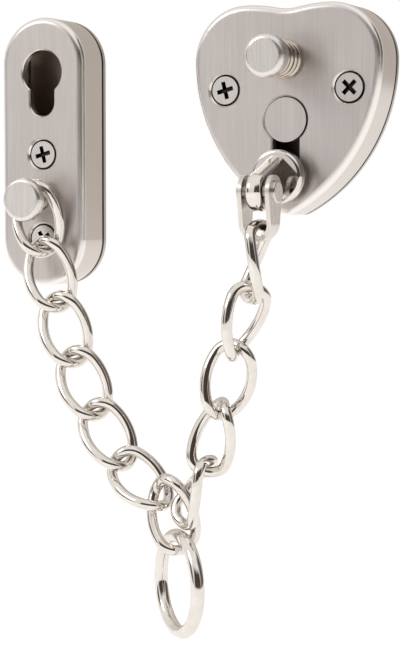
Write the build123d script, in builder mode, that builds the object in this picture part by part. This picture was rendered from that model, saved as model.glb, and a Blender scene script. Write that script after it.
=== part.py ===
"""Door chain: a slotted keeper plate, a heart-shaped lock plate and the curb chain between them.

Frame, in millimetres: +Z is up, the wall is the plane Y = 0 and the plates face -Y.
The origin lies on the wall, halfway between the two screws of the heart plate.
Plane.XZ looks at the wall, so Plane.XZ.offset(d) is the plane d millimetres in front of it.
"""
import cmath
import os
from math import acos, cos, radians, sin, sqrt, tan

from build123d import *

os.makedirs("parts", exist_ok=True)

# Both plates: a drawn cover on a flat back plate
plate_depth = 12.0
back_thickness = 1.5
front_wall = 2.0
side_wall = 1.6
edge_radius = 1.5
seam_chamfer = 0.45

# Heart plate
heart_half_width = 22.6
heart_shoulder_radius = 12.5
heart_shoulder_height = 6.5
heart_notch_height = 17.6
heart_tip_height = -28.6
heart_tip_radius = 3.5
heart_notch_radius = 12.0
heart_screw_spacing = 30.0

# Keeper plate
keeper_distance = 62.6
keeper_width = 21.8
keeper_top = 18.4
keeper_bottom = -45.2
keeper_screw_spacing = 20.0
keeper_upper_screw = -14.0
post_height = -24.8

# Keyholes
keyhole_diameter = 10.4
keyhole_edge = 0.35
slot_width = 6.4
heart_keyhole_height = -6.9
heart_slot_length = 12.8
keeper_keyhole_height = 5.5
keeper_slot_length = 7.2

# Countersunk wood screws
screw_length = 25.0
screw_head_diameter = 6.6
screw_sink = 0.5
screw_shank_diameter = 3.5
screw_core_diameter = 2.8
screw_point_length = 4.5
recess_length = 4.0
recess_width = 1.0
recess_depth = 1.3

# Chain post on the keeper
post_shaft_diameter = 4.0
post_head_diameter = 10.2
post_head_thickness = 2.0
post_head_edge = 1.0
post_reach = 8.0
post_tail_diameter = 6.4
post_tail_thickness = 1.2

# Release button, its spring and the latch behind it
button_height = 6.5
button_reach = 13.0
button_cap_diameter = 9.6
button_cap_thickness = 3.4
button_cap_edge = 1.2
button_shaft_diameter = 4.0
button_tail_diameter = 5.6
button_tail_thickness = 0.8
spring_diameter = 9.0
spring_wire = 1.1
spring_turns = 3.5
latch_thickness = 1.5
latch_width = 8.4

# Slide bolt
bolt_head_diameter = 9.6
bolt_head_thickness = 1.8
bolt_neck_diameter = 6.0
bolt_collar_diameter = 12.1
bolt_collar_thickness = 3.0
bolt_collar_edge = 0.8
bolt_collar_gap = 2.6
tang_thickness = 4.0
tang_root_height = 9.6
tang_end_radius = 4.4
tang_edge = 1.4
rivet_reach = 14.6
rivet_drop = 3.4

# Shackle and its rivet
shackle_thickness = 1.0
shackle_width = 7.4
shackle_foot_width = 3.6
shackle_side_gap = 0.8
shackle_drop = 9.8
shackle_foot_radius = 2.8
shackle_straight = 3.5
rivet_diameter = 3.0
rivet_head_diameter = 5.0
rivet_head_thickness = 0.8

# Chain: oval links twisted about their length, and the hook ring below
wire_diameter = 2.5
link_length = 13.9
link_end_half = 3.55
link_side_corner = 6.05
link_bend_radius = 3.8
link_side_radius = 13.5
link_twist = 42.0
ring_diameter = 25.0
ring_wire_diameter = 3.2

# Clearances
running_gap = 0.2
contact_gap = 0.3
press_gap = 0.02

# How the chain hangs, in degrees: lean from the vertical, roll about a link's own length
first_link_stand_off = 4.2
first_link_lean = 12.0
first_link_forward = 3.0
first_link_roll = 22.0
keeper_run_leans = [15.0, 17.0, 24.0, 31.0, 48.0]
keeper_run_rolls = [22.0, 25.0, 28.0, 33.0, 34.0]
heart_run_leans = [8.0, 17.0, 13.0, 17.0, 27.0]
heart_run_rolls = [-70.0, -111.0, -153.0, -197.0, -241.0]
bottom_link_opening = complex(6.6, -2.8)
bottom_link_rise = 5.5
bottom_link_lean = 16.0
bottom_link_roll = 6.0
ring_turn = -42.0

# Places and sizes that several pieces share
wall = Plane.XZ
cover_back = wall.offset(back_thickness)
cover_face = wall.offset(plate_depth)
cover_depth = plate_depth - back_thickness
heart_screw_places = [(-heart_screw_spacing / 2, 0), (heart_screw_spacing / 2, 0)]
keeper_screw_places = [
    (-keeper_distance, keeper_upper_screw),
    (-keeper_distance, keeper_upper_screw - keeper_screw_spacing),
]
latch_face = plate_depth - front_wall - running_gap
bolt_height = heart_keyhole_height - heart_slot_length
rivet_point = Vector(0, -plate_depth - rivet_reach, bolt_height - rivet_drop)
shackle_gap = tang_thickness + 2 * shackle_side_gap
link_pitch = link_length - contact_gap


# Heart outline: a shoulder arc, a shallow brow to the notch and a long flank to the tip
with BuildSketch() as heart_outline:
    with BuildLine():
        shoulder_x = heart_half_width - heart_shoulder_radius
        shoulder = CenterArc((shoulder_x, heart_shoulder_height), heart_shoulder_radius, 0, 90)
        TangentArc(shoulder @ 1, (0, heart_notch_height), tangent=shoulder % 1)
        TangentArc(shoulder @ 0, (0, heart_tip_height), tangent=(0, -1))
        mirror(about=Plane.YZ)
    make_face()
    fillet(heart_outline.vertices().sort_by(Axis.Y)[0], heart_tip_radius)
    notch = heart_outline.vertices().filter_by_position(Axis.X, -0.01, 0.01)
    fillet(notch, heart_notch_radius)

# Keeper outline: a strip with two round ends
with BuildSketch() as keeper_outline:
    with Locations((-keeper_distance, (keeper_top + keeper_bottom) / 2)):
        SlotOverall(keeper_top - keeper_bottom, keeper_width, rotation=90)


def keyhole(x, z, slot_length):
    """Draw a keyhole: a round mouth with a straight slot hanging from it."""
    with Locations((x, z)):
        Circle(keyhole_diameter / 2)
    with Locations((x, z - slot_length / 2)):
        SlotCenterToCenter(slot_length, slot_width, rotation=90)


def cover(outline, screw_places, mouth, shaft_place, shaft_hole):
    """Make a drawn cover: a hollow box with a rounded face edge, countersinks and chamfered holes."""
    with BuildPart() as shell:
        with BuildSketch(cover_back):
            add(outline.sketch)
        extrude(amount=cover_depth)
        face = shell.faces().sort_by(Axis.Y)[0]
        fillet(face.edges(), edge_radius)
        rim = shell.faces().sort_by(Axis.Y)[-1]
        chamfer(rim.edges(), seam_chamfer)
        with BuildSketch(cover_back):
            add(outline.sketch)
            offset(amount=-side_wall, mode=Mode.REPLACE)
        extrude(amount=cover_depth - front_wall, mode=Mode.SUBTRACT)
        with BuildSketch(cover_face):
            keyhole(*mouth)
            with Locations(shaft_place):
                Circle(shaft_hole / 2)
        extrude(amount=-front_wall, mode=Mode.SUBTRACT)
        face = shell.faces().sort_by(Axis.Y)[0]
        chamfer(face.inner_wires().edges(), keyhole_edge)
        with Locations(cover_face):
            with Locations(screw_places):
                CounterSinkHole(
                    screw_shank_diameter / 2 + running_gap,
                    screw_head_diameter / 2 + screw_sink + running_gap,
                    depth=front_wall,
                )
    return shell.part


def back_plate(outline, screw_places):
    """Make a flat back plate with a hole for each screw."""
    with BuildPart() as plate:
        with BuildSketch(wall):
            add(outline.sketch)
            with Locations(screw_places):
                Circle(screw_shank_diameter / 2 + running_gap, mode=Mode.SUBTRACT)
        extrude(amount=back_thickness)
        front = plate.faces().sort_by(Axis.Y)[0]
        chamfer(front.outer_wire().edges(), seam_chamfer)
    return plate.part


def wood_screw(x, z, turn):
    """Make a countersunk screw with a cross recess: plain through the plates, thinner in the wall."""
    head_height = (screw_head_diameter - screw_shank_diameter) / 2
    point_start = screw_length - screw_point_length
    grip = plate_depth - screw_sink
    head_middle = Vector(x, -grip, z)
    with BuildPart() as screw:
        with BuildSketch(Plane(head_middle)):
            with BuildLine():
                Polyline(
                    (0, 0),
                    (screw_head_diameter / 2, 0),
                    (screw_shank_diameter / 2, head_height),
                    (screw_shank_diameter / 2, grip),
                    (screw_core_diameter / 2, grip),
                    (screw_core_diameter / 2, point_start),
                    (0, screw_length),
                    close=True,
                )
            make_face()
        revolve(axis=Axis(head_middle, (0, 1, 0)))
        with BuildSketch(Plane(head_middle, x_dir=(1, 0, 0), z_dir=(0, -1, 0))):
            Rectangle(recess_length, recess_width, rotation=turn)
            Rectangle(recess_width, recess_length, rotation=turn)
        extrude(amount=-recess_depth, taper=8, mode=Mode.SUBTRACT)
    return screw.part


def keep(part, name):
    """Label a finished piece and write its file."""
    part.label = name
    export_step(part, f"parts/{name}.step")


# Keeper plate
keeper_mouth = (-keeper_distance, keeper_keyhole_height, keeper_slot_length)
post_place = (-keeper_distance, post_height)
keep(
    cover(
        keeper_outline,
        keeper_screw_places,
        keeper_mouth,
        post_place,
        post_shaft_diameter + 2 * press_gap,
    ),
    "keeper_cover",
)
keep(back_plate(keeper_outline, keeper_screw_places), "keeper_back_plate")

with BuildPart() as chain_post:
    with BuildSketch(cover_face.offset(post_reach)):
        with Locations(post_place):
            Circle(post_head_diameter / 2)
    extrude(amount=post_head_thickness)
    fillet(chain_post.faces().sort_by(Axis.Y)[0].edges(), post_head_edge)
    with BuildSketch(cover_face.offset(post_reach)):
        with Locations(post_place):
            Circle(post_shaft_diameter / 2)
    extrude(amount=-post_reach - front_wall)
    with BuildSketch(cover_face.offset(-front_wall)):
        with Locations(post_place):
            Circle(post_tail_diameter / 2)
    extrude(amount=-post_tail_thickness)
keep(chain_post.part, "chain_post")

# Heart plate
button_place = (0, button_height)
heart_mouth = (0, heart_keyhole_height, heart_slot_length)
keep(
    cover(
        heart_outline,
        heart_screw_places,
        heart_mouth,
        button_place,
        button_shaft_diameter + 2 * running_gap,
    ),
    "heart_cover",
)
keep(back_plate(heart_outline, heart_screw_places), "heart_back_plate")

# Screws: name, place and turn of the cross
screws = [
    ("keeper_screw_upper", keeper_screw_places[0], 15),
    ("keeper_screw_lower", keeper_screw_places[1], 35),
    ("heart_screw_left", heart_screw_places[0], 15),
    ("heart_screw_right", heart_screw_places[1], 45),
]
for screw_name, (screw_x, screw_z), screw_turn in screws:
    keep(wood_screw(screw_x, screw_z, screw_turn), screw_name)

# Release button: a cap on a shaft that is riveted over behind the latch plate
button_shaft_length = button_reach - button_cap_thickness + plate_depth - latch_face + latch_thickness
with BuildPart() as release_button:
    with BuildSketch(cover_face.offset(button_reach)):
        with Locations(button_place):
            Circle(button_cap_diameter / 2)
    extrude(amount=-button_cap_thickness)
    fillet(release_button.faces().sort_by(Axis.Y)[0].edges(), button_cap_edge)
    with BuildSketch(cover_face.offset(button_reach - button_cap_thickness)):
        with Locations(button_place):
            Circle(button_shaft_diameter / 2)
    extrude(amount=-button_shaft_length)
    with BuildSketch(wall.offset(latch_face - latch_thickness)):
        with Locations(button_place):
            Circle(button_tail_diameter / 2)
    extrude(amount=-button_tail_thickness)
keep(release_button.part, "release_button")

# Coil spring between the cover face and the cap, seated with a press gap at each end
spring_height = button_reach - button_cap_thickness - spring_wire - 2 * press_gap
spring_radius = (spring_diameter - spring_wire) / 2
with BuildPart() as button_spring:
    with BuildLine():
        coil = Helix(
            spring_height / spring_turns,
            spring_height,
            spring_radius,
            center=(0, -plate_depth - press_gap - spring_wire / 2, button_height),
            direction=(0, -1, 0),
        )
    with BuildSketch(Plane(coil @ 0, z_dir=coil % 0)):
        Circle(spring_wire / 2)
    sweep(path=coil, is_frenet=True)
keep(button_spring.part, "button_spring")

# Latch plate behind the face, with the plug that fills the keyhole mouth
with BuildPart() as latch_plate:
    with BuildSketch(wall.offset(latch_face)):
        with Locations((0, (button_height + heart_keyhole_height) / 2)):
            SlotCenterToCenter(button_height - heart_keyhole_height, latch_width, rotation=90)
        with Locations(button_place):
            Circle(button_shaft_diameter / 2 + press_gap, mode=Mode.SUBTRACT)
    extrude(amount=-latch_thickness)
keep(latch_plate.part, "latch_plate")

with BuildPart() as blocking_plug:
    with BuildSketch(wall.offset(latch_face)):
        with Locations((0, heart_keyhole_height)):
            Circle(keyhole_diameter / 2 - running_gap)
    extrude(amount=plate_depth - latch_face)
keep(blocking_plug.part, "blocking_plug")

# Tang of the slide bolt: a tongue with rounded edges that carries the shackle
collar_back = plate_depth + bolt_collar_gap
collar_front = collar_back + bolt_collar_thickness
with BuildPart() as tang:
    with BuildSketch(Plane.YZ):
        with Locations((-collar_front + bolt_collar_edge, bolt_height)):
            Rectangle(bolt_collar_edge, tang_root_height)
        with Locations((rivet_point.Y, rivet_point.Z)):
            Circle(tang_end_radius)
        make_hull()
    extrude(amount=tang_thickness / 2, both=True)
    side_edges = tang.faces().filter_by(Axis.X).edges()
    fillet([edge for edge in side_edges if edge.center().Y < -collar_front], tang_edge)
    with BuildSketch(Plane.YZ):
        with Locations((rivet_point.Y, rivet_point.Z)):
            Circle(rivet_diameter / 2 + running_gap)
    extrude(amount=tang_thickness, both=True, mode=Mode.SUBTRACT)

# Slide bolt: rear head, neck in the slot, round collar and the tang
head_face = latch_face - running_gap
with BuildPart() as slide_bolt:
    with BuildSketch(wall.offset(collar_back)):
        with Locations((0, bolt_height)):
            Circle(bolt_collar_diameter / 2)
    extrude(amount=bolt_collar_thickness)
    fillet(slide_bolt.edges().filter_by(GeomType.CIRCLE), bolt_collar_edge)
    with BuildSketch(wall.offset(head_face)):
        with Locations((0, bolt_height)):
            Circle(bolt_neck_diameter / 2)
    extrude(amount=collar_back - head_face)
    with BuildSketch(wall.offset(head_face)):
        with Locations((0, bolt_height)):
            Circle(bolt_head_diameter / 2)
    extrude(amount=-bolt_head_thickness)
    add(tang.part)
keep(slide_bolt.part, "slide_bolt")

# Shackle: a bent strap, straight beside the tang and round at the foot
foot_height = rivet_point.Z - shackle_drop + shackle_foot_radius
strap_front = Plane.XZ.offset(-rivet_point.Y)
strap_top = rivet_point.Z + shackle_width / 2
strap_low = rivet_point.Z - shackle_straight
with BuildPart() as shackle:
    with BuildSketch(strap_front):
        with Locations((0, (strap_top + strap_low) / 2)):
            Rectangle(shackle_gap + 2 * shackle_thickness, strap_top - strap_low)
        with Locations((0, foot_height)):
            Circle(shackle_foot_radius + shackle_thickness)
        make_hull()
    extrude(amount=shackle_width / 2, both=True)
    with BuildSketch(strap_front):
        with Locations((0, (strap_top + strap_low) / 2)):
            Rectangle(shackle_gap, strap_top - strap_low)
        with Locations((0, foot_height)):
            Circle(shackle_foot_radius)
        make_hull()
    extrude(amount=shackle_width / 2, both=True, mode=Mode.SUBTRACT)
    with BuildSketch(Plane.YZ):
        with Locations((rivet_point.Y, rivet_point.Z)):
            Circle(shackle_width / 2)
        with Locations((rivet_point.Y, foot_height - shackle_foot_radius)):
            Rectangle(shackle_foot_width, 2 * shackle_thickness)
        make_hull()
        with Locations((rivet_point.Y, rivet_point.Z)):
            Circle(rivet_diameter / 2 + press_gap, mode=Mode.SUBTRACT)
    extrude(amount=shackle_gap, both=True, mode=Mode.INTERSECT)
keep(shackle.part, "shackle")

rivet_half = shackle_gap / 2 + shackle_thickness
with BuildPart() as shackle_rivet:
    with BuildSketch(Plane.YZ):
        with Locations((rivet_point.Y, rivet_point.Z)):
            Circle(rivet_diameter / 2)
    extrude(amount=rivet_half, both=True)
    for rivet_side in (Plane.YZ.offset(rivet_half), -Plane.YZ.offset(-rivet_half)):
        with BuildSketch(rivet_side):
            with Locations(rivet_side.to_local_coords(Vector(rivet_half, rivet_point.Y, rivet_point.Z))):
                Circle(rivet_head_diameter / 2)
        extrude(amount=rivet_head_thickness)
    ends = shackle_rivet.faces().sort_by(Axis.X)
    fillet([*ends[0].edges(), *ends[-1].edges()], rivet_head_thickness / 2)
keep(shackle_rivet.part, "shackle_rivet")


def chain_link(top, bottom, roll, name):
    """Make one twisted link whose inner ends meet its neighbours at top and bottom."""
    axis_plane = Plane((top + bottom) / 2, x_dir=(1, 0, 0), z_dir=top - bottom)
    height = (link_length + wire_diameter) / 2
    end_x = link_end_half * cos(radians(link_twist))
    end_y = link_end_half * sin(radians(link_twist))
    with BuildPart() as link:
        for half_turn in (0, 180):
            frame = Plane(axis_plane.location * Rot(Z=roll + half_turn))
            with BuildLine(frame):
                side = FilletPolyline(
                    (0, 0, height),
                    (end_x, -end_y, height),
                    (link_side_corner, 0, 0),
                    (end_x, end_y, -height),
                    (0, 0, -height),
                    radius=[link_bend_radius, link_side_radius, link_bend_radius],
                )
            with BuildSketch(Plane(side @ 0, z_dir=side % 0)):
                Circle(wire_diameter / 2)
            sweep(path=side)
    keep(link.part, name)


def run_steps(leans, side):
    """Give the steps from contact to contact of a hanging run, as complex numbers across and up."""
    return [cmath.rect(link_pitch, radians(side * lean - 90)) for lean in leans]


def run_points(start, steps, turn):
    """Add the turned steps up from the start, one contact point after another."""
    points = [start]
    for step in steps:
        points.append(points[-1] + step * cmath.exp(1j * turn))
    return points


# First link, hung on the post
post_contact = Vector(
    -keeper_distance,
    -plate_depth - first_link_stand_off,
    post_height + post_shaft_diameter / 2 + contact_gap / 2,
)
first_way = Vector(tan(radians(first_link_lean)), -tan(radians(first_link_forward)), -1)
keeper_end = post_contact + first_way.normalized() * link_pitch

# Last link, seated on the edges of the shackle's foot
bend_inside = link_bend_radius - wire_diameter / 2
seat_half = shackle_foot_width / 2 + contact_gap
seat_rise = bend_inside - sqrt(bend_inside**2 - seat_half**2)
shackle_contact = rivet_point + Vector(0, 0, contact_gap / 2 + seat_rise - shackle_drop)

# The chain hangs in the upright plane through both ends, where a point is a complex number.
# The two runs and the line between their upper ends are a triangle, which gives their turns.
across = shackle_contact - keeper_end
across.Z = 0
chain_plane = Plane(keeper_end, x_dir=across, z_dir=across.cross(Vector(0, 0, 1)))
heart_end = complex(across.length, shackle_contact.Z - keeper_end.Z)
keeper_steps = run_steps(keeper_run_leans, 1)
heart_steps = run_steps(heart_run_leans, -1)
base = heart_end - bottom_link_opening
keeper_reach = abs(sum(keeper_steps))
heart_reach = abs(sum(heart_steps))
corner = acos((keeper_reach**2 + abs(base) ** 2 - heart_reach**2) / (2 * keeper_reach * abs(base)))
meeting = cmath.rect(keeper_reach, cmath.phase(base) - corner)
keeper_turn = cmath.phase(meeting / sum(keeper_steps))
heart_turn = cmath.phase((meeting - base) / sum(heart_steps))
keeper_run = run_points(0, keeper_steps, keeper_turn)
heart_run = run_points(heart_end, heart_steps, heart_turn)


def in_space(point):
    """Turn a complex number in the chain's plane into a point in space."""
    return chain_plane.from_local_coords(Vector(point.real, point.imag, 0))


# Bottom link, hung by its top bend from both runs
bottom_middle = (keeper_run[-1] + heart_run[-1]) / 2
bottom_way = cmath.rect(1, radians(bottom_link_lean - 90))
bottom_top = in_space(bottom_middle - bottom_way * bottom_link_rise)
bottom_end = in_space(bottom_middle + bottom_way * (link_pitch - bottom_link_rise))

# Links in order from the keeper to the shackle: upper contact, lower contact, roll
links = [(post_contact, keeper_end, first_link_roll)]
for upper, lower, roll in zip(keeper_run, keeper_run[1:], keeper_run_rolls):
    links.append((in_space(upper), in_space(lower), roll))
links.append((bottom_top, bottom_end, bottom_link_roll))
heart_links = list(zip(heart_run, heart_run[1:], heart_run_rolls))
for upper, lower, roll in reversed(heart_links):
    links.append((in_space(upper), in_space(lower), roll))
for number, (upper, lower, roll) in enumerate(links, start=1):
    chain_link(upper, lower, roll, f"chain_link_{number:02d}")

# Hook ring, hung in the bottom link
ring_radius = (ring_diameter - ring_wire_diameter) / 2
ring_top = bottom_end.Z + contact_gap / 2 + ring_wire_diameter / 2
ring_across = Vector(cos(radians(ring_turn)), sin(radians(ring_turn)), 0)
ring_centre = Vector(bottom_end.X, bottom_end.Y, ring_top - ring_radius)
ring_plane = Plane(ring_centre, x_dir=ring_across, z_dir=ring_across.cross(Vector(0, 0, 1)))
with BuildPart() as hook_ring:
    with BuildSketch(Plane(ring_centre, x_dir=ring_across, z_dir=ring_plane.y_dir)):
        with Locations((ring_radius, 0)):
            Circle(ring_wire_diameter / 2)
    revolve(axis=Axis(ring_centre, ring_plane.z_dir))
keep(hook_ring.part, "hook_ring")
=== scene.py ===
"""Looks of the door chain: brushed plates, satin fittings, polished nickel chain, studio and camera.

Metres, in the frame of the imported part: +Z up, the wall at Y = 0, the plates facing -Y.
"""
import math
from types import SimpleNamespace

import bpy
import numpy as np
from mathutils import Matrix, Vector


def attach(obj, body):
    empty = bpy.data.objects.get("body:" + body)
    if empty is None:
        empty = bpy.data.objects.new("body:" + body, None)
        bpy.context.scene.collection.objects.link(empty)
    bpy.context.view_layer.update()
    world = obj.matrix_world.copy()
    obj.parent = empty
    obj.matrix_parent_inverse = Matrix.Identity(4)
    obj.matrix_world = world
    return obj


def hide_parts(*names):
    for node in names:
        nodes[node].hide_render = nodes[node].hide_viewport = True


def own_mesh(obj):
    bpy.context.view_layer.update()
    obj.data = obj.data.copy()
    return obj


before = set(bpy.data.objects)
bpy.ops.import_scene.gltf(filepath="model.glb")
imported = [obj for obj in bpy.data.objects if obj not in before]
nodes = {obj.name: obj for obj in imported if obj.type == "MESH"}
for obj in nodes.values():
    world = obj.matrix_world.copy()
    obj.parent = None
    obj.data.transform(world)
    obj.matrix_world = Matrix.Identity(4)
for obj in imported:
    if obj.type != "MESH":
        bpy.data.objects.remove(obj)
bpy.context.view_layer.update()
scene = bpy.context.scene
MM = 0.001

# Sizes that the new surfaces share with the solids, in millimetres
PLATE_DEPTH = 12.0
LINK_COUNT = 12
LINK_WIRE = 2.5
LINK_LENGTH = 13.9
LINK_END_HALF = 3.55
LINK_SIDE = 6.05
LINK_BEND = 3.8
LINK_SIDE_RADIUS = 13.5
LINK_TWIST = math.radians(42.0)
RING_DIAMETER = 25.0
RING_WIRE = 3.2
SPRING_DIAMETER = 9.0
SPRING_WIRE = 1.1
SPRING_TURNS = 4.6
BUTTON_GAP = 9.6
BUTTON_HEIGHT = 6.5
SCREW_CORE = 2.8
SCREW_TIP = 13.5
SCREW_POINT = 4.5
SCREW_PLACES = {
    "keeper_screw_upper": (-62.6, -14.0),
    "keeper_screw_lower": (-62.6, -34.0),
    "heart_screw_left": (-15.0, 0.0),
    "heart_screw_right": (15.0, 0.0),
}

# The spring's own form: closed turns at each end, their share of the rise, the gap to its seats,
# the eased share of the climb and the angle at which the wire starts
SPRING_CLOSED = 0.8
SPRING_END_RISE = 0.12
SPRING_SEAT_GAP = 0.02
SPRING_EASE = 0.15
SPRING_START = 0.6

# The thread: its helix, and its section as shares of the height and of the width
THREAD_PITCH = 1.35
THREAD_HEIGHT = 0.42
THREAD_WIDTH = 0.9
THREAD_START = 0.4
THREAD_LENGTH = 10.2
THREAD_FADE_IN = 0.05
THREAD_FADE_OUT = 0.15
THREAD_SECTION = np.array([(-0.08, -0.40), (0.35, -0.16), (1.0, 0.0),
                           (0.35, 0.16), (-0.08, 0.40), (-0.3, 0.0)])

# How small a fading end of a wire or a thread becomes, as a share
TIP_SHARE = 0.02

# Rows and columns of the grids
ARC_POINTS = 200
LINK_ROWS, LINK_COLUMNS = 260, 32
RING_ROWS, RING_COLUMNS = 160, 40
SPRING_ROWS, SPRING_COLUMNS = 420, 20
THREAD_ROWS_PER_TURN = 60

# Depths along Y between which one finish gives way to the next, and where the painted highlights and painted
# shade begin, in millimetres
COVER_EDGE = (-11.95, -11.60)
COVER_SIDE = (-10.70, -10.00)
COVER_SEAM = (-2.10, -1.95)
BACK_PLATE_SEAM = (-1.49, -1.46)
BACK_PLATE_EDGE = (-1.12, -1.04)
SCREW_RECESS = (-11.48, -11.20)
SCREW_SHANK = (-10.20, -10.00)
BOLT_COLLAR = (-16.20, -15.40)
BOLT_HIDDEN = (-12.50, -11.80)

# Distances from a screw's axis: the recess's reach, and where the line of painted shade at the head's edge
# begins
RECESS_REACH = 2.1
HEAD_RIM = (3.10, 3.20)

# Painted shade for the gap where the cover meets the back plate
SEAM_SHADE = (0.05, 0.042, 0.036)


# Surfaces


def grid_object(name, points, around, along):
    """Make a smooth mesh object from a grid of points in millimetres, rows along and columns around.

    around and along say whether the columns and the rows close on themselves.
    A tube whose rows don't close gets a face at each end.
    """
    rows, columns = points.shape[:2]
    row, column = np.meshgrid(np.arange(rows if along else rows - 1),
                              np.arange(columns if around else columns - 1), indexing="ij")
    next_row, next_column = (row + 1) % rows, (column + 1) % columns
    faces = np.stack([row * columns + column, row * columns + next_column,
                      next_row * columns + next_column, next_row * columns + column], -1)
    faces = faces.reshape(-1, 4).tolist()
    if around and not along:
        first_end = np.arange(columns)
        faces += [first_end[::-1].tolist(), (first_end + (rows - 1) * columns).tolist()]
    mesh = bpy.data.meshes.new(name)
    mesh.from_pydata((points.reshape(-1, 3) * MM).tolist(), [], faces)
    mesh.polygons.foreach_set("use_smooth", np.ones(len(faces), bool))
    mesh.update()
    piece = bpy.data.objects.new(name, mesh)
    scene.collection.objects.link(piece)
    return piece


def unit(vectors):
    """Scale vectors to length 1."""
    return vectors / np.linalg.norm(vectors, axis=-1, keepdims=True)


def tube(path, tangent, outward, radius, columns):
    """Carry a circle along a path: each row is path + radius * (cos a * n + sin a * b).

    n is the outward guide less its part along the tangent, b is tangent x n.
    The radius may change along the path.
    """
    normal = unit(outward - (outward * tangent).sum(-1, keepdims=True) * tangent)
    side = np.cross(tangent, normal)
    angle = np.linspace(0, 2 * math.pi, columns, endpoint=False)[None, :, None]
    circle = np.cos(angle) * normal[:, None] + np.sin(angle) * side[:, None]
    return path[:, None] + np.broadcast_to(radius, len(path))[:, None, None] * circle


def closed_tangent(path):
    """Give the unit tangents of a closed path by central differences."""
    return unit(np.roll(path, -1, 0) - np.roll(path, 1, 0))


def rounded_loop(corners, radii, points):
    """Round every corner of a closed polygon by an arc and cut the loop into equal lengths.

    An arc's centre is on the corner's bisector. It runs from one side's touch point to the next side's, as a
    slerp between the two directions from the centre: (sin((1 - t) w) * start + sin(t w) * end) / sin w.
    """
    before = unit(np.roll(corners, 1, 0) - corners)
    after = unit(np.roll(corners, -1, 0) - corners)
    half = np.arccos(np.clip((before * after).sum(-1), -1, 1)) / 2
    reach = (radii / np.tan(half))[:, None]
    centre = corners + unit(before + after) * (radii / np.sin(half))[:, None]
    start = (corners + before * reach - centre) / radii[:, None]
    end = (corners + after * reach - centre) / radii[:, None]
    sweep = (math.pi - 2 * half)[:, None, None]
    t = np.linspace(0, 1, ARC_POINTS)[None, :, None]
    arc = (np.sin((1 - t) * sweep) * start[:, None] + np.sin(t * sweep) * end[:, None]) / np.sin(sweep)
    loop = (centre[:, None] + radii[:, None, None] * arc).reshape(-1, 3)
    loop = np.concatenate([loop, loop[:1]])
    passed = np.concatenate([[0], np.cumsum(np.linalg.norm(np.diff(loop, axis=0), axis=-1))])
    place = np.linspace(0, passed[-1], points, endpoint=False)
    return np.stack([np.interp(place, passed, loop[:, axis]) for axis in range(3)], -1)


def node_axes(name):
    """Find a solid's middle and own axes, longest first, from the area-weighted spread of its triangles."""
    mesh = nodes[name].data
    mesh.calc_loop_triangles()
    corner = np.zeros(len(mesh.vertices) * 3)
    mesh.vertices.foreach_get("co", corner)
    index = np.zeros(len(mesh.loop_triangles) * 3, int)
    mesh.loop_triangles.foreach_get("vertices", index)
    triangle = corner.reshape(-1, 3)[index].reshape(-1, 3, 3) / MM
    edge = triangle[:, 1:] - triangle[:, :1]
    area = np.linalg.norm(np.cross(edge[:, 0], edge[:, 1]), axis=-1)
    area /= area.sum()
    middle = (triangle.mean(1) * area[:, None]).sum(0)
    from_middle = triangle - middle
    spread = sum(np.einsum("n,ni,nj->ij", area, from_middle[:, i], from_middle[:, j])
                 for i in range(3) for j in range(3)) / 9
    spread += sum(np.einsum("n,ni,nj->ij", area, from_middle[:, i], from_middle[:, i]) for i in range(3)) / 3
    axes = np.linalg.eigh(spread)[1][:, ::-1].T
    if np.linalg.det(axes) < 0:
        axes[2] *= -1
    return middle, axes


def chain_link(node):
    """A twisted link: six corners, the ends turned by the twist against the sides, rounded to a tube."""
    middle, (length_axis, side_axis, third_axis) = node_axes(node)
    top = (LINK_LENGTH + LINK_WIRE) / 2
    x, y = LINK_END_HALF * math.cos(LINK_TWIST), LINK_END_HALF * math.sin(LINK_TWIST)
    one_side = np.array([(x, -y, top), (LINK_SIDE, 0, 0), (x, y, -top)])
    other_side = (one_side * (-1, -1, 1))[::-1]
    corners = np.concatenate([one_side, other_side])
    path = rounded_loop(corners, np.array([LINK_BEND, LINK_SIDE_RADIUS, LINK_BEND] * 2), LINK_ROWS)
    rows = tube(path, closed_tangent(path), path, LINK_WIRE / 2, LINK_COLUMNS)
    basis = np.array([side_axis, third_axis, length_axis])
    return grid_object(node + "_wire", rows @ basis + middle, True, True)


def ring(node):
    """A ring: a circle of the wire's radius carried round a circle, in the plane of the solid's long axes."""
    middle, (first, second, _) = node_axes(node)
    angle = np.linspace(0, 2 * math.pi, RING_ROWS, endpoint=False)[:, None]
    outward = np.cos(angle) * first + np.sin(angle) * second
    path = outward * (RING_DIAMETER - RING_WIRE) / 2
    rows = tube(path, closed_tangent(path), outward, RING_WIRE / 2, RING_COLUMNS)
    return grid_object(node + "_wire", rows + middle, True, True)


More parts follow.
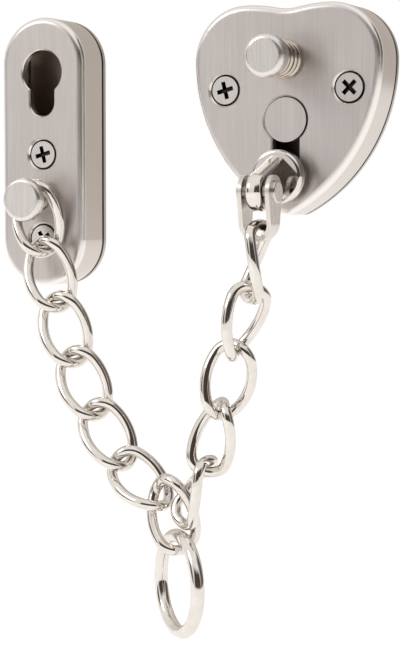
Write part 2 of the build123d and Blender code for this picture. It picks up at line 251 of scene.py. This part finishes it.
def coil_spring():
    """A helix with closed ends: the end turns rise a little, those between along an eased line.

    The eased line is a straight climb mixed with the smooth step 3 u^2 - 2 u^3. The wire's tips are drawn in.
    """
    t = np.linspace(0, 1, SPRING_ROWS)
    closed = SPRING_CLOSED / SPRING_TURNS
    u = np.clip((t - closed) / (1 - 2 * closed), 0, 1)
    climb = (1 - SPRING_EASE) * u + SPRING_EASE * (3 * u**2 - 2 * u**3)
    ends = np.clip(t / closed, 0, 1) + np.clip((t - 1 + closed) / closed, 0, 1)
    free = BUTTON_GAP - SPRING_WIRE - 2 * SPRING_SEAT_GAP
    height = free * (SPRING_END_RISE * ends + (1 - 2 * SPRING_END_RISE) * climb)
    angle = 2 * math.pi * SPRING_TURNS * t + SPRING_START
    outward = np.stack([np.cos(angle), 0 * angle, np.sin(angle)], -1)
    path = outward * (SPRING_DIAMETER - SPRING_WIRE) / 2
    path[:, 1] = -PLATE_DEPTH - SPRING_SEAT_GAP - SPRING_WIRE / 2 - height
    path[:, 2] += BUTTON_HEIGHT
    thick = np.full(SPRING_ROWS, SPRING_WIRE / 2)
    thick[[0, -1]] *= TIP_SHARE
    rows = tube(path, unit(np.gradient(path, axis=0)), outward, thick, SPRING_COLUMNS)
    return grid_object("button_spring_coil", rows, True, False)


def screw_thread(node):
    """A thread: a low triangular ridge carried along a helix on the core, its height fading at both ends."""
    x, z = SCREW_PLACES[node]
    turns = THREAD_LENGTH / THREAD_PITCH
    t = np.linspace(0, 1, THREAD_ROWS_PER_TURN * int(turns))
    angle = (2 * math.pi * turns * t)[:, None]
    y = THREAD_START + THREAD_LENGTH * t
    core = SCREW_CORE / 2 * np.clip((SCREW_TIP - y) / SCREW_POINT, 0, 1)
    fade = np.clip(np.minimum(t / THREAD_FADE_IN, (1 - t) / THREAD_FADE_OUT), TIP_SHARE, 1)
    radius = core[:, None] + THREAD_HEIGHT * fade[:, None] * THREAD_SECTION[:, 0]
    depth = y[:, None] + THREAD_WIDTH * THREAD_SECTION[:, 1]
    rows = np.stack([x + radius * np.cos(angle), depth, z + radius * np.sin(angle)], -1)
    return grid_object(node + "_thread", rows, True, False)


# Shader groups


def new_group(name, inputs, outputs):
    """Start a shader group with named sockets, given as {name: (type, default)} and {name: type}."""
    group = bpy.data.node_groups.new(name, "ShaderNodeTree")
    for label, (kind, default) in inputs.items():
        socket = group.interface.new_socket(label, in_out="INPUT", socket_type="NodeSocket" + kind)
        socket.default_value = default
    for label, kind in outputs.items():
        group.interface.new_socket(label, in_out="OUTPUT", socket_type="NodeSocket" + kind)
    return group, group.nodes.new("NodeGroupInput"), group.nodes.new("NodeGroupOutput")


def math_node(tree, operation, *values, clamp=False):
    """Add a math node; each value is a number or a socket."""
    node = tree.nodes.new("ShaderNodeMath")
    node.operation = operation
    node.use_clamp = clamp
    for socket, value in zip(node.inputs, values):
        if isinstance(value, (int, float)):
            socket.default_value = value
        else:
            tree.links.new(value, socket)
    return node.outputs[0]


def vector_node(tree, operation, first, second=None):
    """Add a vector math node; the first value is a socket, the second a tuple or a socket."""
    node = tree.nodes.new("ShaderNodeVectorMath")
    node.operation = operation
    tree.links.new(first, node.inputs[0])
    if isinstance(second, tuple):
        node.inputs[1].default_value = second
    elif second is not None:
        tree.links.new(second, node.inputs[1])
    return node.outputs["Value" if operation in ("LENGTH", "DOT_PRODUCT") else "Vector"]


def object_place(tree):
    """Give the Object coordinates' socket."""
    return tree.nodes.new("ShaderNodeTexCoord").outputs["Object"]


def grain_group():
    """Grain: stretched noise for drawn or brushed lines, a broad noise for handling marks."""
    group, source, sink = new_group(
        "grain",
        {"Spread": ("Vector", (1, 1, 1)), "Marks": ("Float", 60.0)},
        {"Lines": "Float", "Marks": "Float"},
    )
    place = object_place(group)
    lines = group.nodes.new("ShaderNodeTexNoise")
    lines.inputs["Scale"].default_value = 1.0
    lines.inputs["Detail"].default_value = 3.0
    lines.inputs["Roughness"].default_value = 0.65
    group.links.new(vector_node(group, "MULTIPLY", place, source.outputs["Spread"]), lines.inputs["Vector"])
    group.links.new(lines.outputs["Fac"], sink.inputs["Lines"])
    marks = group.nodes.new("ShaderNodeTexNoise")
    marks.inputs["Detail"].default_value = 3.0
    group.links.new(place, marks.inputs["Vector"])
    group.links.new(source.outputs["Marks"], marks.inputs["Scale"])
    group.links.new(marks.outputs["Fac"], sink.inputs["Marks"])
    return group


def depth_group():
    """Depth: 0 in front of From, 1 behind To, along Y."""
    group, source, sink = new_group(
        "depth",
        {"From": ("Float", 0.0), "To": ("Float", 1.0)},
        {"Behind": "Float"},
    )
    split = group.nodes.new("ShaderNodeSeparateXYZ")
    group.links.new(object_place(group), split.inputs[0])
    ramp = group.nodes.new("ShaderNodeMapRange")
    group.links.new(split.outputs["Y"], ramp.inputs["Value"])
    group.links.new(source.outputs["From"], ramp.inputs["From Min"])
    group.links.new(source.outputs["To"], ramp.inputs["From Max"])
    group.links.new(ramp.outputs["Result"], sink.inputs["Behind"])
    return group


def round_group():
    """Round: the distance from a line along Y through Place, and fine turned rings about it."""
    group, source, sink = new_group(
        "round",
        {"Place": ("Vector", (0, 0, 0)), "Rings": ("Float", 1800.0)},
        {"Distance": "Float", "Rings": "Float"},
    )
    away = vector_node(group, "SUBTRACT", object_place(group), source.outputs["Place"])
    distance = vector_node(group, "LENGTH", vector_node(group, "MULTIPLY", away, (1, 0, 1)))
    group.links.new(distance, sink.inputs["Distance"])
    rings = group.nodes.new("ShaderNodeTexNoise")
    rings.noise_dimensions = "1D"
    rings.inputs["Scale"].default_value = 1.0
    group.links.new(math_node(group, "MULTIPLY", distance, source.outputs["Rings"]), rings.inputs["W"])
    group.links.new(rings.outputs["Fac"], sink.inputs["Rings"])
    return group


GRAIN, DEPTH, ROUND = grain_group(), depth_group(), round_group()


# Finishes


def place_group(tree, group, **values):
    """Put a group into a material with its own values."""
    node = tree.nodes.new("ShaderNodeGroup")
    node.node_tree = group
    for name, value in values.items():
        node.inputs[name].default_value = value
    return node


def behind(tree, band):
    """Give a mask that rises from 0 to 1 over a band of depths in millimetres."""
    return place_group(tree, DEPTH, From=band[0] * MM, To=band[1] * MM).outputs["Behind"]


def colour_mix(tree, share, first, second):
    """Mix two colours, or colour sockets, by a share."""
    node = tree.nodes.new("ShaderNodeMix")
    node.data_type = "RGBA"
    tree.links.new(share, node.inputs["Factor"])
    for socket, value in ((node.inputs["A"], first), (node.inputs["B"], second)):
        if isinstance(value, tuple):
            socket.default_value = (*value, 1)
        else:
            tree.links.new(value, socket)
    return node.outputs["Result"]


def spread_to(tree, value, low, high, out_low, out_high):
    """Map a value from one range to another, clamped."""
    node = tree.nodes.new("ShaderNodeMapRange")
    tree.links.new(value, node.inputs["Value"])
    for name, number in zip(("From Min", "From Max", "To Min", "To Max"), (low, high, out_low, out_high)):
        node.inputs[name].default_value = number
    return node.outputs["Result"]


def metal(name, light, dark, rough, grain, marks, bump):
    """A bare metal: grain lines tint it, change its roughness and raise it a little.

    Returns the material with its tree, shader, colour and roughness sockets and relief node.
    """
    material = bpy.data.materials.new(name)
    material.use_nodes = True
    tree = material.node_tree
    shader = tree.nodes["Principled BSDF"]
    shader.inputs["Metallic"].default_value = 1.0
    texture = place_group(tree, GRAIN, Spread=grain, Marks=marks).outputs
    share = spread_to(tree, texture["Lines"], 0.3, 0.7, 0.0, 1.0)
    colour = colour_mix(tree, share, dark, light)
    worn = spread_to(tree, texture["Marks"], 0.35, 0.7, -0.04, 0.05)
    roughness = math_node(tree, "ADD", spread_to(tree, texture["Lines"], 0.3, 0.7, *rough), worn)
    relief = tree.nodes.new("ShaderNodeBump")
    relief.inputs["Distance"].default_value = 0.0001
    relief.inputs["Strength"].default_value = bump
    tree.links.new(texture["Lines"], relief.inputs["Height"])
    tree.links.new(colour, shader.inputs["Base Color"])
    tree.links.new(roughness, shader.inputs["Roughness"])
    tree.links.new(relief.outputs["Normal"], shader.inputs["Normal"])
    return SimpleNamespace(material=material, tree=tree, shader=shader, colour=colour,
                           roughness=roughness, relief=relief)


def cover_finish():
    """Brushed face, polished rounded edge lightened by a painted highlight, satin sides and painted shade at
    the seam with the back plate.
    """
    base = metal("brushed_cover", light=(0.68, 0.635, 0.615), dark=(0.60, 0.555, 0.54), rough=(0.32, 0.40),
                 grain=(3600, 3600, 60), marks=45.0, bump=0.05)
    # The rounded edge's pale colour is a painted highlight; its lower roughness is real polish.
    painted_edge_highlight, satin_side, smoother = (0.86, 0.83, 0.80), (0.62, 0.575, 0.53), -0.16
    tree = base.tree
    past_face = behind(tree, COVER_EDGE)
    sides = colour_mix(tree, behind(tree, COVER_SIDE), painted_edge_highlight, satin_side)
    plain = colour_mix(tree, past_face, base.colour, sides)
    # Behind the seam depth the cover is painted near black: painted shade in the gap at the back plate.
    seam_shaded = colour_mix(tree, behind(tree, COVER_SEAM), plain, SEAM_SHADE)
    tree.links.new(seam_shaded, base.shader.inputs["Base Color"])
    roughness = math_node(tree, "MULTIPLY_ADD", past_face, smoother, base.roughness)
    tree.links.new(roughness, base.shader.inputs["Roughness"])
    return base.material


def back_plate_finish():
    """Satin edge with a line of painted shade at the seam with the cover, and a brown unfinished face inside
    the cover.
    """
    base = metal("back_plate_steel", light=(0.58, 0.54, 0.50), dark=(0.48, 0.44, 0.41), rough=(0.28, 0.38),
                 grain=(2600, 2600, 60), marks=45.0, bump=0.06)
    inside_brown = (0.42, 0.345, 0.315)
    tree = base.tree
    # Between the seam depths the back plate's edge is painted near black: painted shade in the gap at the
    # cover's rim.
    outside = colour_mix(tree, behind(tree, BACK_PLATE_EDGE), SEAM_SHADE, base.colour)
    shown = colour_mix(tree, behind(tree, BACK_PLATE_SEAM), inside_brown, outside)
    tree.links.new(shown, base.shader.inputs["Base Color"])
    return base.material


def screw_finish(name, place):
    """Turned head, with painted shade in its cross recess and a line of painted shade round its edge for the
    gap to the countersink.
    """
    base = metal(name, light=(0.76, 0.725, 0.695), dark=(0.70, 0.665, 0.635), rough=(0.26, 0.32),
                 grain=(400, 400, 400), marks=70.0, bump=0.01)
    recess_shade = (0.035, 0.03, 0.028)
    tree = base.tree
    turned = place_group(tree, ROUND, Place=(place[0] * MM, 0, place[1] * MM)).outputs
    shank = behind(tree, SCREW_SHANK)
    # The cross recess and a thin line at the head's edge are painted near black: painted shade in the recess
    # and in the gap to the countersink.
    inside = math_node(tree, "LESS_THAN", turned["Distance"], RECESS_REACH * MM)
    sunk = math_node(tree, "SUBTRACT", behind(tree, SCREW_RECESS), shank)
    recess = math_node(tree, "MULTIPLY", inside, sunk)
    rim_shade = spread_to(tree, turned["Distance"], HEAD_RIM[0] * MM, HEAD_RIM[1] * MM, 0, 1)
    dark = math_node(tree, "MAXIMUM", recess, math_node(tree, "SUBTRACT", rim_shade, shank, clamp=True))
    tree.links.new(colour_mix(tree, dark, base.colour, recess_shade), base.shader.inputs["Base Color"])
    tree.links.new(turned["Rings"], base.relief.inputs["Height"])
    return base.material


def bolt_finish():
    """Polished tang, satin collar, rougher behind it and near black from painted shade behind the cover's
    face.
    """
    base = metal("polished_bolt", light=(0.80, 0.765, 0.73), dark=(0.74, 0.70, 0.67), rough=(0.07, 0.13),
                 grain=(300, 300, 300), marks=90.0, bump=0.015)
    hidden_shade, rougher = (0.05, 0.043, 0.04), 0.2
    tree = base.tree
    # Behind the cover's face the bolt is painted near black: painted shade inside the slot.
    shown = colour_mix(tree, behind(tree, BOLT_HIDDEN), base.colour, hidden_shade)
    tree.links.new(shown, base.shader.inputs["Base Color"])
    roughness = math_node(tree, "MULTIPLY_ADD", behind(tree, BOLT_COLLAR), rougher, base.roughness)
    tree.links.new(roughness, base.shader.inputs["Roughness"])
    return base.material


brushed_cover = cover_finish()
back_plate_steel = back_plate_finish()
polished_bolt = bolt_finish()
nickel = metal("polished_nickel", light=(0.80, 0.765, 0.725), dark=(0.72, 0.68, 0.635), rough=(0.05, 0.10),
               grain=(350, 350, 350), marks=120.0, bump=0.012).material
satin = metal("satin_nickel", light=(0.80, 0.765, 0.74), dark=(0.70, 0.665, 0.64), rough=(0.24, 0.34),
              grain=(2800, 2800, 90), marks=60.0, bump=0.06).material
strap = metal("strap_steel", light=(0.72, 0.685, 0.65), dark=(0.62, 0.585, 0.55), rough=(0.20, 0.30),
              grain=(2200, 2200, 140), marks=60.0, bump=0.05).material
spring_steel = metal("spring_steel", light=(0.66, 0.59, 0.51), dark=(0.54, 0.475, 0.40), rough=(0.12, 0.20),
                     grain=(400, 400, 400), marks=80.0, bump=0.02).material
plug_face = metal("plug_steel", light=(0.68, 0.64, 0.62), dark=(0.60, 0.56, 0.54), rough=(0.30, 0.42),
                  grain=(2600, 2600, 60), marks=60.0, bump=0.08).material
# Near-black tone for the latch plate: painted shade, not the steel's own colour; its high roughness is real.
latch_shade = metal("latch_shade_steel", light=(0.10, 0.09, 0.085), dark=(0.05, 0.045, 0.042), rough=(0.4, 0.5),
             grain=(400, 400, 400), marks=60.0, bump=0.03).material


# Pieces


def finish_node(node, material):
    """Give a solid's object one finish."""
    mesh = nodes[node].data
    mesh.materials.clear()
    mesh.materials.append(material)


def dress(piece, material, body):
    """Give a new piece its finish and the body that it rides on."""
    piece.data.materials.append(material)
    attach(piece, body)


for plate in ("heart", "keeper"):
    finish_node(plate + "_cover", brushed_cover)
    finish_node(plate + "_back_plate", back_plate_steel)
for name, finish in (("chain_post", satin), ("release_button", satin), ("blocking_plug", plug_face),
                     ("latch_plate", latch_shade), ("slide_bolt", polished_bolt), ("shackle", strap),
                     ("shackle_rivet", strap), ("button_spring", spring_steel), ("hook_ring", nickel)):
    finish_node(name, finish)
for screw, place in SCREW_PLACES.items():
    screw_steel = screw_finish(screw + "_steel", place)
    finish_node(screw, screw_steel)
    dress(screw_thread(screw), screw_steel, "root")

for number in range(1, LINK_COUNT + 1):
    node = f"chain_link_{number:02d}"
    finish_node(node, nickel)
    wire = chain_link(node)
    dress(wire, nickel, f"link_{number:02d}")
    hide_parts(node)

hook = ring("hook_ring")
dress(hook, nickel, "ring")
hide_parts("hook_ring")

coil = coil_spring()
dress(coil, spring_steel, "root")
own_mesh(coil)
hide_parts("button_spring")


# Camera: the photograph's angle, with the picture taken as 400 by 651

CAMERA_AZIMUTH = math.radians(25.006)
CAMERA_ELEVATION = math.radians(3.747)
CAMERA_DISTANCE = 0.441164
CAMERA_TARGET = Vector((-0.024078, -0.0055, -0.054116))
FOCAL_PIXELS = 1885.9
PICTURE_HEIGHT = 651
SENSOR_HEIGHT = 24.0


def aim(place, target):
    """Turn something that looks along its own -Z from place to target."""
    return (Vector(target) - Vector(place)).to_track_quat("-Z", "Y").to_euler()


def photograph_camera():
    """A camera on a sphere about its target, at the photograph's azimuth, elevation and distance."""
    camera = bpy.data.cameras.new("camera")
    camera.sensor_fit = "VERTICAL"
    camera.sensor_height = SENSOR_HEIGHT
    camera.lens = SENSOR_HEIGHT * FOCAL_PIXELS / PICTURE_HEIGHT
    camera.clip_start = 0.01
    eye = bpy.data.objects.new("camera", camera)
    level = math.cos(CAMERA_ELEVATION)
    outward = Vector((math.sin(CAMERA_AZIMUTH) * level, -math.cos(CAMERA_AZIMUTH) * level,
                      math.sin(CAMERA_ELEVATION)))
    eye.location = CAMERA_TARGET + CAMERA_DISTANCE * outward
    eye.rotation_euler = aim(eye.location, CAMERA_TARGET)
    scene.collection.objects.link(eye)
    scene.camera = eye


photograph_camera()


# Floor: a flat grid well below the ring, in millimetres

FLOOR_HEIGHT = -210.0
FLOOR_REACH = 4000.0
FLOOR_POINTS = 9


def pale_floor():
    """A flat grid of points at one height, matt and nearly white."""
    edge = np.linspace(-FLOOR_REACH, FLOOR_REACH, FLOOR_POINTS)
    x, y = np.meshgrid(edge, edge, indexing="xy")
    floor = grid_object("floor", np.stack([x, y, np.full_like(x, FLOOR_HEIGHT)], -1), False, False)
    pale = bpy.data.materials.new("pale_floor")
    pale.use_nodes = True
    shader = pale.node_tree.nodes["Principled BSDF"]
    shader.inputs["Base Color"].default_value = (0.93, 0.93, 0.93, 1)
    shader.inputs["Roughness"].default_value = 0.9
    shader.inputs["Emission Color"].default_value = (1, 1, 1, 1)
    shader.inputs["Emission Strength"].default_value = 0.35
    floor.data.materials.append(pale)


pale_floor()


# Light: a white studio with dark cards for the metal to mirror, and one softbox

WINDOW_AZIMUTH = math.radians(30)
CARD_AZIMUTH = math.radians(-52)
STRIP_AZIMUTH = math.radians(112)
STRIP_HALF = (math.radians(24), math.radians(31))
STUDIO_WHITE = (0.98, 0.965, 0.95)
STUDIO_REAR = (0.62, 0.57, 0.53)
STUDIO_DARK = (0.075, 0.058, 0.048)


def studio_world():
    """White all round and dimmer behind the wall, with three dark fields.

    They are a window about the camera, a card left of it and an upright strip right of it. To the camera the
    world is plain white.
    """
    world = bpy.data.worlds.new("studio")
    world.use_nodes = True
    tree = world.node_tree
    tree.nodes.clear()
    direction = tree.nodes.new("ShaderNodeTexCoord").outputs["Generated"]
    split = tree.nodes.new("ShaderNodeSeparateXYZ")
    tree.links.new(direction, split.inputs[0])
    x, y, z = split.outputs

    def toward(azimuth):
        return vector_node(tree, "DOT_PRODUCT", direction, (math.sin(azimuth), -math.cos(azimuth), 0))

    window = spread_to(tree, toward(WINDOW_AZIMUTH), 0.56, 0.74, 0, 1)
    card = spread_to(tree, toward(CARD_AZIMUTH), 0.93, 0.965, 0, 0.9)
    low = spread_to(tree, z, -0.50, -0.34, 0, 1)
    high = spread_to(tree, z, 0.46, 0.66, 1, 0)
    ahead = math_node(tree, "MULTIPLY", math_node(tree, "MAXIMUM", window, card), low)
    ahead = math_node(tree, "MULTIPLY", ahead, high)
    azimuth = math_node(tree, "ARCTAN2", x, math_node(tree, "MULTIPLY", y, -1.0))
    beside = math_node(tree, "ABSOLUTE", math_node(tree, "SUBTRACT", azimuth, STRIP_AZIMUTH))
    strip = spread_to(tree, beside, *STRIP_HALF, 0.92, 0)
    level = spread_to(tree, math_node(tree, "ABSOLUTE", z), 0.70, 0.85, 1, 0)
    dark = math_node(tree, "MAXIMUM", ahead, math_node(tree, "MULTIPLY", strip, level))
    rear = spread_to(tree, vector_node(tree, "DOT_PRODUCT", direction, (-0.20, 0.98, 0)), 0.1, 0.9, 0, 1)
    colour = colour_mix(tree, rear, STUDIO_WHITE, STUDIO_REAR)
    colour = colour_mix(tree, dark, colour, STUDIO_DARK)
    seen = tree.nodes.new("ShaderNodeLightPath").outputs["Is Camera Ray"]
    shade = tree.nodes.new("ShaderNodeBackground")
    tree.links.new(colour_mix(tree, seen, colour, (1.0, 1.0, 1.0)), shade.inputs["Color"])
    tree.links.new(shade.outputs[0], tree.nodes.new("ShaderNodeOutputWorld").inputs["Surface"])
    scene.world = world


def softbox(name, place, target, size, power, tint):
    """A square area light aimed at a point."""
    lamp = bpy.data.lights.new(name, "AREA")
    lamp.shape = "SQUARE"
    lamp.size = size
    lamp.energy = power
    lamp.color = tint
    box = bpy.data.objects.new(name, lamp)
    box.location = place
    box.rotation_euler = aim(place, target)
    scene.collection.objects.link(box)


studio_world()
softbox("key", place=(-0.55, -0.60, 0.45), target=(-0.03, 0, -0.03), size=0.30, power=1.5,
        tint=(1.0, 0.98, 0.96))
scene.view_settings.view_transform = "Standard"
scene.view_settings.look = "None"
